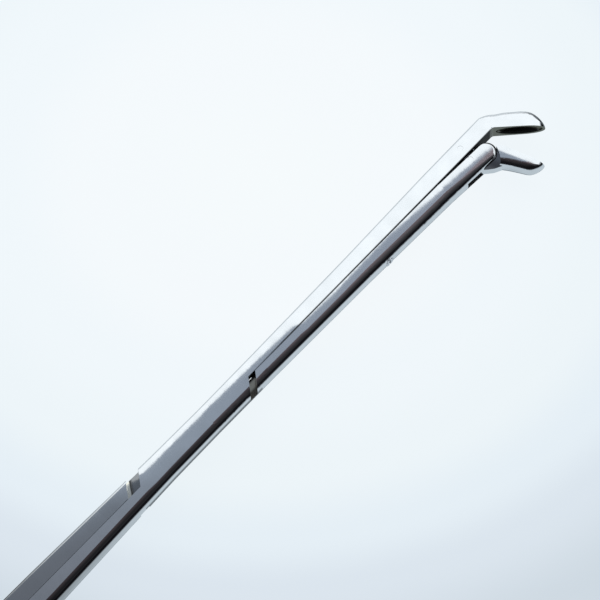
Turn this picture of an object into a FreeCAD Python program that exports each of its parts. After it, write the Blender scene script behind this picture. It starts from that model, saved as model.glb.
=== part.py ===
import FreeCAD, Part
import math
import os

# Nasal forceps with a sliding shaft and 45 degree upturned cup jaws, lying on its side.
# Sizes are millimetres. +X runs along the shaft to the jaws, +Y to the ring handles, +Z up.
# While it is drawn, X and Y start at the fixed jaw's inner corner and Z at the middle plane.
# The last step moves the whole to the middle of its footprint.

V = FreeCAD.Vector

# Running and seating clearances
SLIDE_GAP = 0.03        # each sliding face stands this far from the common plane
RUN_GAP = 0.05          # pins that turn or slide in a hole or slot
SEAT_GAP = 0.01         # pins and screws that are fixed in their hole
PLATE_GAP = 0.06        # each side of a plate in its slot

# Shaft, as stations along X: handle-side edge, outer edge, half thickness
LAP_FRONT_X = -52.0
BLOCK_FRONT_X = -120.5      # where the bars end in the handle's head block
STATIONS_REAR = (
    (BLOCK_FRONT_X, 3.05, -3.50, 1.90),
    (-100.0, 2.80, -3.26, 1.78),
    (-86.0, 2.50, -2.84, 1.62),
    (-74.0, 2.22, -2.50, 1.54),
    (-64.0, 2.08, -2.42, 1.50),
    (LAP_FRONT_X, 2.12, -2.45, 1.50),
)
STATIONS_FRONT = (
    (LAP_FRONT_X, 2.12, -2.45, 1.50),
    (-30.5, 2.32, -2.72, 1.50),
    (-12.5, 2.66, -3.17, 1.50),
)
HANDLE_SIDE_ROUND = 0.42    # edge radius along the handle side
OUTER_SIDE_ROUND = 1.38     # edge radius along the outer side

# Half-lap crossing: shoulders are cut across the shaft along x = seam + SHOULDER_SLANT * y
SHOULDER_SLANT = 0.87
FRONT_NEAR_BACK = 1.45          # front of the crossing to the sliding bar's near shoulder
FRONT_NEAR_NOTCH = 1.5
FRONT_FAR_BACK = 2.2            # front of the crossing to the fixed bar's far shoulder
FRONT_FAR_NOTCH = 2.7
CHEEK_NEAR_BACK = 26.8          # front of the crossing to the near cheek's rear shoulder
REAR_NEAR_NOTCH = 2.7
CHEEK_FAR_BACK = 25.4           # front of the crossing to the far cheek's rear shoulder
REAR_FAR_NOTCH = 1.9

# Bend and jaws
BEND_ANGLE = 44.2
BEND_RADIUS = 0.55          # inner corner
BEND_HEIGHTS = (2.70, 2.50, 2.40, 2.38)     # fixed shaft through the bend
FIXED_JAW_ROUND = 0.85      # edge radius of a jaw's back
MOVABLE_JAW_ROUND = 1.2
JAW_HALVES = (1.60, 1.50)   # half width at a jaw's root and where its tip rounds off
FIXED_JAW_LENGTH = 7.9
FIXED_JAW_DOME = 3.2        # length of the rounded tip
FIXED_JAW_PROFILE = ((0.22, 2.38), (1.3, 2.52), (2.5, 2.63), (3.6, 2.66), (4.7, 2.66))
MOVABLE_JAW_LENGTH = 7.3
MOVABLE_JAW_DOME = 2.6
MOVABLE_JAW_PROFILE = ((-1.0, 3.60), (0.0, 3.38), (0.8, 3.12), (1.7, 2.84), (2.7, 2.60), (3.7, 2.42), (4.7, 2.26))
DOME_ANGLES = (22, 42, 58, 70, 79, 86)
DOME_POINTED = 1.35         # above 1 the tip runs out more pointed than an ellipse
CUP_START = 0.45
CUP_FROM_TIP = 0.42
CUP_RIM = 0.28
CUP_DEPTH = 1.55
RIM_GAP = 0.06              # left between the rims when the jaws are shut

# Movable jaw linkage
OPEN_AT_REST = 28.0         # degrees from shut
OPEN_FURTHER = 14.0         # degrees from rest
PIVOT_X = -5.9
PIVOT_Y = 1.35
LINK_DROP = 2.3             # link pin below the pivot, across the shaft
PIVOT_PIN_R = 0.42
LINK_PIN_R = 0.40
TAIL_THICK = 1.5
TAIL_HALF_WIDTH = 0.86
SLIDE_PER_RADIAN = 2.403
SWING_STEPS = 6             # positions of the nose that the movable jaw's root is cut clear of
SHELF_DROP = 0.18           # the jaw's shelf below the seam when shut
TAIL_MARGIN = 0.25          # metal beyond the link slot
HEEL_POINTS = ((-4.0, -2.75), (-3.08, -3.02), (-2.1, -3.22), (-0.75, -3.2), (1.1, -1.6), (0.5, -0.7))

# Sliding shaft's nose
NOSE_CENTRE = (-3.6, -1.87)
NOSE_R = 1.6
NOSE_HALF_THICK = 1.55
NOSE_ROUND = 0.55           # edge radius round the nose
NOSE_SWING_GAP = 0.07       # between the nose and the movable jaw's root
SEAM_EDGE_ROUND = 0.05      # where the seam edge starts to round off towards the nose
FORK_START_X = -9.3
SEAM_OPENS_X = -34.0

# Guide screw and its shoe
GUIDE_X = -26.4
GUIDE_HEAD_R = 0.80
GUIDE_HEAD_HIGH = 0.55
GUIDE_SHANK_R = 0.45
SHOE_LENGTH = 3.0
SHOE_NECK_HALF = 0.42
SHOE_HEAD_HALF = 0.74
SHOE_NECK_HIGH = 0.62
SHOE_HEAD_HIGH = 0.58
SCREW_SLOT_WIDE = 0.24
SCREW_SLOT_DEEP = 0.28

# Lap screw
LAP_SCREW_BACK = 15.0        # behind the front of the crossing
LAP_HEAD_R = 1.05
LAP_HEAD_HIGH = 0.55
LAP_SHOULDER_R = 0.68
LAP_SCREW_REACH = 1.05      # depth in the fixed cheek

# Handles
HANDLE_HALF = 2.5
HALVES_GAP = 0.05           # each half of the pivot joint from the middle plane
PIVOT_FROM_BLOCK = 4.5      # handle pivot in front of the head block
DRIVE_ARM = 8.0
DRIVE_Y = 1.5               # drive pin above the seam
DRIVE_PIN_R = 0.7
ARM_END_R = 1.42
BOSS_R = 5.0
TONGUE_START = 8.9          # front of the tongue from the head block
SLIDING_END = 1.5           # rear end of the sliding shaft from the head block
BLOCK_TOP_Y = -3.5
BLOCK_BASE_Y = 6.5
BLOCK_LENGTH = 16.1
BLOCK_CREST = 10.5          # length of the block's straight outer edge
BLOCK_CHAMFER = 0.6
BLOCK_BULGE = 0.13          # how far the block's rear corner bows out
TANG_LENGTH = 11.5
TANG_HALF = 0.9
TANG_HALF_HIGH = 1.15
RIVET_R = 0.9
RIVET_BACK = (3.8, 8.5)     # behind the front of the head block
RING_BORE_R = 10.5
RING_WALL = 4.0
RING_HALF = 2.25
RING_LAND = 2.0             # width of the ring's straight bore
RING_LEAD = 0.9             # the lead-in widens the bore by this on each side
RING_RIM_ROUND = 1.6
FRONT_RING_FROM_PIVOT = (5.5, 63.0)
REAR_RING_FROM_PIVOT = (-37.0, 59.0)
LIMB_EDGE_ROUND = 1.25
FRONT_LIMB = ((0.0, 3.5, 8.2), (1.9, 30.0, 6.7), (4.8, 51.0, 6.0))        # from the pivot: x, y, width
REAR_LIMB = ((-12.4, -5.5, 16.0), (-18.8, 17.0, 9.4), (-32.6, 47.0, 6.4))
PIVOT_HEAD_R = 2.7
PIVOT_HEAD_HIGH = 1.1
PIVOT_SHOULDER_R = 1.7
PIVOT_THREAD_R = 1.3

# Worked out from the sizes above
HANDLE_PIVOT = (BLOCK_FRONT_X + PIVOT_FROM_BLOCK, DRIVE_Y + DRIVE_ARM)
FRONT_RING = (HANDLE_PIVOT[0] + FRONT_RING_FROM_PIVOT[0], HANDLE_PIVOT[1] + FRONT_RING_FROM_PIVOT[1])
REAR_RING = (HANDLE_PIVOT[0] + REAR_RING_FROM_PIVOT[0], HANDLE_PIVOT[1] + REAR_RING_FROM_PIVOT[1])
RIVET_X = [BLOCK_FRONT_X - back for back in RIVET_BACK]
TONGUE_START_X = BLOCK_FRONT_X + TONGUE_START
SLIDING_END_X = BLOCK_FRONT_X + SLIDING_END
TANG_END_X = BLOCK_FRONT_X - TANG_LENGTH
LAP_SCREW_X = LAP_FRONT_X - LAP_SCREW_BACK
NEAR_FRONT_SLIDING = LAP_FRONT_X - FRONT_NEAR_BACK
NEAR_FRONT_FIXED = NEAR_FRONT_SLIDING - FRONT_NEAR_NOTCH
FAR_FRONT_FIXED = LAP_FRONT_X - FRONT_FAR_BACK
FAR_FRONT_SLIDING = FAR_FRONT_FIXED - FRONT_FAR_NOTCH
NEAR_REAR_FIXED = LAP_FRONT_X - CHEEK_NEAR_BACK
NEAR_REAR_SLIDING = NEAR_REAR_FIXED - REAR_NEAR_NOTCH
FAR_REAR_SLIDING = LAP_FRONT_X - CHEEK_FAR_BACK
FAR_REAR_FIXED = FAR_REAR_SLIDING - REAR_FAR_NOTCH
CUT_REACH = 3 * STATIONS_REAR[0][3]     # cutting outlines reach past the shaft
REST_LEAN = math.radians((OPEN_FURTHER - OPEN_AT_REST) / 2)
LINK_Y = PIVOT_Y - LINK_DROP
LINK_X = PIVOT_X + LINK_DROP * math.tan(REST_LEAN)
TRAVEL_SHUT = SLIDE_PER_RADIAN * math.radians(OPEN_AT_REST)
TRAVEL_OPEN = SLIDE_PER_RADIAN * math.radians(OPEN_FURTHER)
TAIL_SLOT_HALF = TAIL_THICK / 2 + PLATE_GAP
BEND = math.radians(BEND_ANGLE)
BEND_SETBACK = BEND_RADIUS * math.tan(BEND / 2)
PIVOT_POINT = V(PIVOT_X, PIVOT_Y, 0)


def prism(points, low, high):
    """Solid between two heights over a straight-sided outline."""
    corners = [V(x, y, low) for x, y in points]
    wire = Part.makePolygon(corners + corners[:1])
    return Part.Face(wire).extrude(V(0, 0, high - low))


def cylinder(radius, x, y, low, high):
    """Upright cylinder."""
    return Part.makeCylinder(radius, high - low, V(x, y, low))


def block(x0, x1, y0, y1, z0, z1):
    """Rectangular solid between two corners."""
    return Part.makeBox(x1 - x0, y1 - y0, z1 - z0, V(x0, y0, z0))


def slotted_hole(radius, start, end, low, high):
    """Upright hole drawn out from one centre to another."""
    ends = [cylinder(radius, p[0], p[1], low, high) for p in (start, end)]
    run = V(end[0] - start[0], end[1] - start[1], 0)
    side = V(-run.y, run.x, 0).normalize() * radius
    a = V(start[0], start[1], 0)
    b = V(end[0], end[1], 0)
    outline = [(p.x, p.y) for p in (a + side, b + side, b - side, a - side)]
    return prism(outline, low, high).fuse(ends).removeSplitter()


def fused(parts):
    """One clean solid from overlapping or touching ones."""
    whole = parts[0].fuse(parts[1:]).removeSplitter()
    return single(whole)


def single(shape):
    """The only solid of a shape."""
    if len(shape.Solids) != 1:
        raise RuntimeError("expected one solid, got %d" % len(shape.Solids))
    return shape.Solids[0]


def frame_at(base, up):
    """Gives a function that turns (distance up, z) at a base point into a point in space."""
    def place(rise, z):
        return V(base.x + up.x * rise, base.y + up.y * rise, z)
    return place


def bar_section(base, up, low, high, half, edge_round):
    """Outline across a bar: sharp corners at its low face, rounded ones at its high face."""
    place = frame_at(base, up)
    flat = half - edge_round
    shoulder = high - edge_round
    middle = edge_round * math.sqrt(0.5)
    near_arc = Part.Arc(place(shoulder, half), place(shoulder + middle, flat + middle), place(high, flat))
    far_arc = Part.Arc(place(high, -flat), place(shoulder + middle, -flat - middle), place(shoulder, -half))
    return Part.Wire([
        Part.makeLine(place(low, -half), place(low, half)),
        Part.makeLine(place(low, half), place(shoulder, half)),
        near_arc.toShape(),
        Part.makeLine(place(high, flat), place(high, -flat)),
        far_arc.toShape(),
        Part.makeLine(place(shoulder, -half), place(low, -half)),
    ])


def pair_section(x, handle_side, outer_side, half, handle_round=HANDLE_SIDE_ROUND,
                 outer_round=OUTER_SIDE_ROUND):
    """Outline across both bars together, rounded on all four edges."""
    def corner(y_sign, z_sign, y_edge, radius):
        yc = y_edge - y_sign * radius
        zc = z_sign * (half - radius)
        middle = radius * math.sqrt(0.5)
        return (V(x, yc + y_sign * radius, zc), V(x, yc + y_sign * middle, zc + z_sign * middle),
                V(x, yc, zc + z_sign * radius))
    top_near = corner(1, 1, handle_side, handle_round)
    top_far = corner(1, -1, handle_side, handle_round)
    low_near = corner(-1, 1, outer_side, outer_round)
    low_far = corner(-1, -1, outer_side, outer_round)
    return Part.Wire([
        Part.Arc(*top_near).toShape(),
        Part.makeLine(top_near[2], low_near[2]),
        Part.Arc(*reversed(low_near)).toShape(),
        Part.makeLine(low_near[0], low_far[0]),
        Part.Arc(*low_far).toShape(),
        Part.makeLine(low_far[2], top_far[2]),
        Part.Arc(*reversed(top_far)).toShape(),
        Part.makeLine(top_far[0], top_near[0]),
    ])


def loft(sections):
    """Smooth solid through the sections."""
    return Part.makeLoft(sections, True, False, False, 3)


def taper(sections):
    """Solid with straight runs from each section to the next."""
    return Part.makeLoft(sections, True, True)


def shoulder_x(seam_x, y):
    """Where a slanted shoulder lies at a distance from the seam."""
    return seam_x + SHOULDER_SLANT * y


def shoulder_points(seam_x, *distances):
    """Points of a slanted shoulder."""
    return [(shoulder_x(seam_x, y), y) for y in distances]


def rear_blank():
    """Both bars as one solid, from the front of the crossing to the handle."""
    return taper([pair_section(*station) for station in STATIONS_REAR])


def fixed_crossing():
    """The fixed shaft's share of the blank: front bar, near cheek and rear bar."""
    g = SLIDE_GAP
    far_edge = CUT_REACH
    front_bar = prism(shoulder_points(FAR_FRONT_FIXED, g, far_edge)
                      + [(LAP_FRONT_X, far_edge), (LAP_FRONT_X, g)], -far_edge, far_edge)
    cheek = prism(shoulder_points(NEAR_REAR_FIXED, -g, far_edge)
                  + [(LAP_FRONT_X, far_edge), (LAP_FRONT_X, g)]
                  + shoulder_points(NEAR_FRONT_FIXED, g, -far_edge)
                  + shoulder_points(FAR_REAR_FIXED - 1, -far_edge, -g), g, far_edge)
    rear_bar = prism(shoulder_points(FAR_REAR_FIXED, -g, -far_edge)
                     + [(BLOCK_FRONT_X, -far_edge), (BLOCK_FRONT_X, -g)], -far_edge, far_edge)
    return rear_blank().common(fused([front_bar, cheek, rear_bar]))


def sliding_crossing():
    """The sliding shaft's share of the blank: front bar, far cheek and rear bar."""
    g = SLIDE_GAP
    far_edge = CUT_REACH
    front_bar = prism(shoulder_points(NEAR_FRONT_SLIDING, -g, -far_edge)
                      + [(LAP_FRONT_X, -far_edge), (LAP_FRONT_X, -g)], -far_edge, far_edge)
    cheek = prism(shoulder_points(FAR_REAR_SLIDING, g, -far_edge)
                  + [(LAP_FRONT_X, -far_edge), (LAP_FRONT_X, -g)]
                  + shoulder_points(FAR_FRONT_SLIDING, -g, far_edge)
                  + shoulder_points(NEAR_REAR_SLIDING - 1, far_edge, g), -far_edge, -g)
    rear_bar = prism(shoulder_points(NEAR_REAR_SLIDING, g, far_edge)
                     + [(SLIDING_END_X, far_edge), (SLIDING_END_X, g)], -far_edge, far_edge)
    return rear_blank().common(fused([front_bar, cheek, rear_bar]))


def jaw_direction(turn):
    """Directions along a jaw and out of its back, for a turn in radians from the shaft."""
    return V(math.cos(turn), math.sin(turn), 0), V(-math.sin(turn), math.cos(turn), 0)


def profile_depth(profile, reach):
    """Depth of a jaw at a distance from its root, straight between the profile's points."""
    for (x0, d0), (x1, d1) in zip(profile, profile[1:]):
        if reach <= x1:
            return d0 + (d1 - d0) * (reach - x0) / (x1 - x0)
    return profile[-1][1]


def jaw_shell(corner, along, back, profile, length, dome, back_round):
    """Solid outside form of a cup jaw from its root to its rounded tip."""
    body_end = length - dome
    stops = [(reach, 1.0) for reach, depth in profile if reach < body_end - 0.3]
    stops.append((body_end, 1.0))
    for angle in DOME_ANGLES:
        swing = math.radians(angle)
        stops.append((body_end + dome * math.sin(swing), math.cos(swing)))
    sections = []
    for reach, size in stops:
        depth = profile_depth(profile, reach) * size ** DOME_POINTED
        share = min(1.0, max(0.0, reach / body_end))
        half = (JAW_HALVES[0] + (JAW_HALVES[1] - JAW_HALVES[0]) * share) * size ** 0.85
        edge_round = min(back_round, 0.8 * half, 0.8 * depth)
        sections.append(bar_section(corner + along * reach, back, 0, depth, half, edge_round))
    return loft(sections)


def cup_hollow(corner, along, back, jaw_length):
    """Oval hollow of a cup jaw, as a solid to take away."""
    ball = Part.makeSphere(1.0)
    length = (jaw_length - CUP_FROM_TIP - CUP_START) / 2
    centre = corner + along * (CUP_START + length)
    shape = FreeCAD.Matrix()
    shape.A11, shape.A12 = along.x * length, back.x * CUP_DEPTH
    shape.A21, shape.A22 = along.y * length, back.y * CUP_DEPTH
    shape.A33 = JAW_HALVES[1] - CUP_RIM
    shape.A14, shape.A24 = centre.x, centre.y
    return ball.transformGeometry(shape)


def bend_piece():
    """The fixed shaft where it turns into the fixed jaw."""
    centre = V(-BEND_SETBACK, -BEND_RADIUS, 0)
    sections = []
    for step, height in enumerate(BEND_HEIGHTS):
        share = step / (len(BEND_HEIGHTS) - 1)
        along, back = jaw_direction(-BEND * share)
        half = NOSE_HALF_THICK + (JAW_HALVES[0] - NOSE_HALF_THICK) * share
        edge_round = HANDLE_SIDE_ROUND + (FIXED_JAW_ROUND - HANDLE_SIDE_ROUND) * share
        sections.append(bar_section(centre, back, BEND_RADIUS, BEND_RADIUS + height, half, edge_round))
    return loft(sections)


def fixed_front_bar():
    """The fixed shaft's slender front bar, up to the bend."""
    up = V(0, 1, 0)
    stations = [(x, high, half) for x, high, low, half in STATIONS_FRONT]
    sections = [bar_section(V(x, 0, 0), up, SLIDE_GAP, high, half, HANDLE_SIDE_ROUND)
                for x, high, half in stations]
    end = V(-BEND_SETBACK, 0, 0)
    sections.append(bar_section(end, up, SLIDE_GAP, BEND_HEIGHTS[0], NOSE_HALF_THICK, HANDLE_SIDE_ROUND))
    return taper(sections)


def guide_slot():
    """Undercut slot for the guide shoe, with its entry pocket behind it."""
    front = GUIDE_X + SHOE_LENGTH / 2 + TRAVEL_SHUT + PLATE_GAP
    rear = GUIDE_X - SHOE_LENGTH / 2 - TRAVEL_OPEN - PLATE_GAP
    entry = rear - SHOE_LENGTH - 2 * PLATE_GAP
    neck = SHOE_NECK_HALF + PLATE_GAP
    head = SHOE_HEAD_HALF + PLATE_GAP
    ceiling = SHOE_NECK_HIGH + SHOE_HEAD_HIGH + PLATE_GAP
    undercut = SHOE_NECK_HIGH - PLATE_GAP
    narrow = block(rear, front, -1, ceiling, -neck, neck)
    wide = block(rear, front, undercut, ceiling, -head, head)
    pocket = block(entry, rear + SLIDE_GAP, -1, ceiling, -head, head)
    return fused([narrow, wide, pocket])


def tail_pocket():
    """Room inside the fixed shaft for the movable jaw's tail to swing."""
    swing = math.radians((OPEN_AT_REST + OPEN_FURTHER) / 2)
    at_pivot = TAIL_HALF_WIDTH / math.cos(swing) + PLATE_GAP
    at_seam = at_pivot + PIVOT_Y * math.tan(swing) + PLATE_GAP
    opening = prism([(PIVOT_X - at_seam, 0), (PIVOT_X + at_seam, 0), (PIVOT_X + at_pivot, PIVOT_Y),
                     (PIVOT_X - at_pivot, PIVOT_Y)], -TAIL_SLOT_HALF, TAIL_SLOT_HALF)
    top = cylinder(at_pivot, PIVOT_X, PIVOT_Y, -TAIL_SLOT_HALF, TAIL_SLOT_HALF)
    return fused([opening, top])


def fixed_shaft():
    """Stationary bar with the fixed cup jaw and, at the rear, the tang for the handle."""
    along, back = jaw_direction(-BEND)
    jaw = jaw_shell(V(0, 0, 0), along, back, FIXED_JAW_PROFILE, FIXED_JAW_LENGTH, FIXED_JAW_DOME,
                    FIXED_JAW_ROUND)
    rear_half = STATIONS_REAR[0][3]
    tang_middle = (STATIONS_REAR[0][2] - SLIDE_GAP) / 2
    tang = block(TANG_END_X, BLOCK_FRONT_X, tang_middle - TANG_HALF_HIGH, tang_middle + TANG_HALF_HIGH,
                 -TANG_HALF, TANG_HALF)
    body = fused([fixed_crossing(), fixed_front_bar(), bend_piece(), jaw, tang])
    body = body.cut(cup_hollow(V(0, 0, 0), along, back, FIXED_JAW_LENGTH))
    body = body.cut(tail_pocket())
    body = body.cut(guide_slot())
    pivot_hole = cylinder(PIVOT_PIN_R + SEAT_GAP, PIVOT_X, PIVOT_Y, -rear_half, rear_half)
    screw_hole = cylinder(LAP_SHOULDER_R + SEAT_GAP, LAP_SCREW_X, 0, -1, SLIDE_GAP + LAP_SCREW_REACH)
    rivet_holes = [cylinder(RIVET_R + SEAT_GAP, x, tang_middle, -rear_half, rear_half) for x in RIVET_X]
    return single(body.cut([pivot_hole, screw_hole] + rivet_holes))


def nose_end():
    """Half-round front of the nose with a rounded rim."""
    flat = NOSE_R - NOSE_ROUND
    level = NOSE_HALF_THICK - NOSE_ROUND
    slope = NOSE_ROUND * math.sqrt(0.5)

    def at(reach, z):
        return V(0, -reach, z)
    outline = Part.Wire([
        Part.makeLine(at(0, -NOSE_HALF_THICK), at(flat, -NOSE_HALF_THICK)),
        Part.Arc(at(flat, -NOSE_HALF_THICK), at(flat + slope, -level - slope), at(NOSE_R, -level)).toShape(),
        Part.makeLine(at(NOSE_R, -level), at(NOSE_R, level)),
        Part.Arc(at(NOSE_R, level), at(flat + slope, level + slope), at(flat, NOSE_HALF_THICK)).toShape(),
        Part.makeLine(at(flat, NOSE_HALF_THICK), at(0, NOSE_HALF_THICK)),
        Part.makeLine(at(0, NOSE_HALF_THICK), at(0, -NOSE_HALF_THICK)),
    ])
    half_disc = Part.Face(outline).revolve(V(0, 0, 0), V(0, 0, 1), 180)
    half_disc.translate(V(NOSE_CENTRE[0], NOSE_CENTRE[1], 0))
    return half_disc


def sliding_front_bar():
    """The sliding shaft's front bar with its round nose."""
    up = V(0, -1, 0)
    bar = taper([bar_section(V(x, 0, 0), up, SLIDE_GAP, -low, half, OUTER_SIDE_ROUND)
                 for x, high, low, half in STATIONS_FRONT])
    last_x, _, last_low, last_half = STATIONS_FRONT[-1]
    nose_top = NOSE_CENTRE[1] + NOSE_R
    relief = prism([(SEAM_OPENS_X, 1), (SEAM_OPENS_X, -SLIDE_GAP), (NOSE_CENTRE[0], nose_top),
                    (NOSE_CENTRE[0], 1)], -CUT_REACH, CUT_REACH)
    opened = SLIDE_GAP - (nose_top + SLIDE_GAP) * (last_x - SEAM_OPENS_X) / (NOSE_CENTRE[0] - SEAM_OPENS_X)
    front = taper([
        pair_section(last_x, -opened, last_low, last_half, SEAM_EDGE_ROUND, OUTER_SIDE_ROUND),
        pair_section(NOSE_CENTRE[0], nose_top, NOSE_CENTRE[1] - NOSE_R, NOSE_HALF_THICK, NOSE_ROUND, NOSE_ROUND),
    ])
    return fused([bar.cut(relief), front, nose_end()])


def lap_screw_slot():
    """Long counterbored slot in the sliding cheek for the lap screw."""
    rear_x = LAP_SCREW_X - TRAVEL_SHUT
    front_x = LAP_SCREW_X + TRAVEL_OPEN
    half = STATIONS_REAR[-1][3]
    floor = -half + LAP_HEAD_HIGH + PLATE_GAP
    neck = slotted_hole(LAP_SHOULDER_R + RUN_GAP, (rear_x, 0), (front_x, 0), -half - 1, 1)
    head = slotted_hole(LAP_HEAD_R + RUN_GAP, (rear_x, 0), (front_x, 0), -half - 1, floor)
    return fused([neck, head])


def guide_face(x):
    """Height of the sliding shaft's outer face at a place on the front bar."""
    (x0, _, low0, _), (x1, _, low1, _) = STATIONS_FRONT[1], STATIONS_FRONT[2]
    return low0 + (low1 - low0) * (x - x0) / (x1 - x0)


def cross_cylinder(radius, x, low, high):
    """Cylinder across the shaft, along Y, in the middle plane."""
    return Part.makeCylinder(radius, high - low, V(x, low, 0), V(0, 1, 0))


def sliding_shaft():
    """Moving bar: forked nose, far cheek of the crossing and thin tongue under the drive arm."""
    body = fused([sliding_crossing(), sliding_front_bar()])
    fork = block(FORK_START_X, 0, -CUT_REACH, CUT_REACH, -TAIL_SLOT_HALF, TAIL_SLOT_HALF)
    tongue_room = block(SLIDING_END_X - 1, TONGUE_START_X, -1, CUT_REACH, -HALVES_GAP, CUT_REACH)
    link_hole = cylinder(LINK_PIN_R + SEAT_GAP, LINK_X, LINK_Y, -2, 2)
    drive_hole = cylinder(DRIVE_PIN_R + SEAT_GAP, HANDLE_PIVOT[0], DRIVE_Y, -3, 3)
    face = guide_face(GUIDE_X)
    shank = cross_cylinder(GUIDE_SHANK_R + SEAT_GAP, GUIDE_X, -CUT_REACH, 1)
    head = cross_cylinder(GUIDE_HEAD_R + SEAT_GAP, GUIDE_X, -CUT_REACH, face + GUIDE_HEAD_HIGH)
    body = body.cut([fork, tongue_room, link_hole, drive_hole, shank, head, lap_screw_slot()])
    return single(body)


def nose_room():
    """All the room that the nose takes beside the movable jaw, in the jaw's shut position."""
    height = CUT_REACH
    reach_back = NOSE_CENTRE[0] - FORK_START_X
    low = NOSE_CENTRE[1] - NOSE_R - NOSE_SWING_GAP
    rooms = []
    swing = OPEN_AT_REST + OPEN_FURTHER
    for step in range(SWING_STEPS + 1):
        turn = swing * step / SWING_STEPS
        slid = SLIDE_PER_RADIAN * math.radians(OPEN_AT_REST - turn)
        behind = block(NOSE_CENTRE[0] - reach_back, NOSE_CENTRE[0], low, 0, -height, height)
        room = cylinder(NOSE_R + NOSE_SWING_GAP, *NOSE_CENTRE, -height, height).fuse(behind)
        room.translate(V(slid, 0, 0))
        room.rotate(PIVOT_POINT, V(0, 0, 1), turn)
        rooms.append(room)
    return rooms


def shut_tail():
    """Tail plate and heel, drawn in the shut position."""
    swing = math.radians((OPEN_AT_REST + OPEN_FURTHER) / 2)
    down = V(math.sin(swing), -math.cos(swing), 0)
    side = V(math.cos(swing), math.sin(swing), 0) * TAIL_HALF_WIDTH
    top_right = PIVOT_POINT + side
    top_left = PIVOT_POINT - side
    corner_right = top_right + down * ((top_right.y + SHELF_DROP) / math.cos(swing))
    corner_left = top_left + down * (LINK_DROP / math.cos(swing) + LINK_PIN_R + TAIL_MARGIN)
    crown = Part.Arc(top_right, PIVOT_POINT - down * TAIL_HALF_WIDTH, top_left).toShape()
    low_points = [V(x, y, 0) for x, y in HEEL_POINTS]
    shelf = V(0, -SHELF_DROP, 0)
    heel = Part.BSplineCurve()
    heel.interpolate([corner_left] + low_points[:3])
    edges = [crown, Part.makeLine(top_left, corner_left), heel.toShape()]
    corners = low_points[2:] + [shelf, corner_right, top_right]
    edges += [Part.makeLine(a, b) for a, b in zip(corners, corners[1:])]
    plate = Part.Face(Part.Wire(edges)).extrude(V(0, 0, TAIL_THICK))
    plate.translate(V(0, 0, -TAIL_THICK / 2))
    return plate, down


def movable_jaw():
    """Cup jaw with heel and tail plate, drawn shut and then opened to the rest position."""
    along, back = jaw_direction(-BEND)
    corner = back * -RIM_GAP
    cup = jaw_shell(corner, along, back * -1, MOVABLE_JAW_PROFILE, MOVABLE_JAW_LENGTH, MOVABLE_JAW_DOME,
                    MOVABLE_JAW_ROUND)
    above_seam = block(FORK_START_X, CUP_START, -SHELF_DROP, CUT_REACH, -CUT_REACH, CUT_REACH)
    cup = cup.cut([above_seam] + nose_room())
    plate, down = shut_tail()
    jaw = fused([cup, plate])
    jaw = jaw.cut(cup_hollow(corner, along, back * -1, MOVABLE_JAW_LENGTH))
    near = LINK_DROP
    far = LINK_DROP / math.cos(math.radians((OPEN_AT_REST + OPEN_FURTHER) / 2))
    ends = [PIVOT_POINT + down * distance for distance in (near - RUN_GAP, far + RUN_GAP)]
    slot = slotted_hole(LINK_PIN_R + RUN_GAP, ends[0][0:2], ends[1][0:2], -2, 2)
    hole = cylinder(PIVOT_PIN_R + RUN_GAP, PIVOT_X, PIVOT_Y, -2, 2)
    jaw = single(jaw.cut([slot, hole]))
    jaw.rotate(PIVOT_POINT, V(0, 0, 1), -OPEN_AT_REST)
    return jaw


def guide_screw():
    """Small slotted screw, flush with the sliding shaft's outer face."""
    face = guide_face(GUIDE_X)
    head = cross_cylinder(GUIDE_HEAD_R, GUIDE_X, face, face + GUIDE_HEAD_HIGH - SEAT_GAP)
    shank = cross_cylinder(GUIDE_SHANK_R, GUIDE_X, face, SHOE_NECK_HIGH + SHOE_HEAD_HIGH / 2)
    slot = block(GUIDE_X - SCREW_SLOT_WIDE / 2, GUIDE_X + SCREW_SLOT_WIDE / 2, face - 1,
                 face + SCREW_SLOT_DEEP, -2, 2)
    return single(fused([head, shank]).cut(slot))


def guide_shoe():
    """T-shaped nut that runs in the fixed shaft's undercut slot."""
    x0 = GUIDE_X - SHOE_LENGTH / 2
    x1 = GUIDE_X + SHOE_LENGTH / 2
    neck = block(x0, x1, -SLIDE_GAP + SEAT_GAP, SHOE_NECK_HIGH, -SHOE_NECK_HALF, SHOE_NECK_HALF)
    head = block(x0, x1, SHOE_NECK_HIGH, SHOE_NECK_HIGH + SHOE_HEAD_HIGH, -SHOE_HEAD_HALF, SHOE_HEAD_HALF)
    hole = cross_cylinder(GUIDE_SHANK_R + SEAT_GAP, GUIDE_X, -1, SHOE_NECK_HIGH + SHOE_HEAD_HIGH / 2 + SEAT_GAP)
    return single(fused([neck, head]).cut(hole))


def lap_screw():
    """Shoulder screw through the crossing, its head on the far side."""
    half = STATIONS_REAR[-1][3]
    head = cylinder(LAP_HEAD_R, LAP_SCREW_X, 0, -half + SEAT_GAP, -half + LAP_HEAD_HIGH)
    shank = cylinder(LAP_SHOULDER_R, LAP_SCREW_X, 0, -half + SEAT_GAP, SLIDE_GAP + LAP_SCREW_REACH - SEAT_GAP)
    slot = block(LAP_SCREW_X - 2, LAP_SCREW_X + 2, -SCREW_SLOT_WIDE / 2, SCREW_SLOT_WIDE / 2,
                 -half - 1, -half + SCREW_SLOT_DEEP)
    return single(fused([head, shank]).cut(slot))


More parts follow.
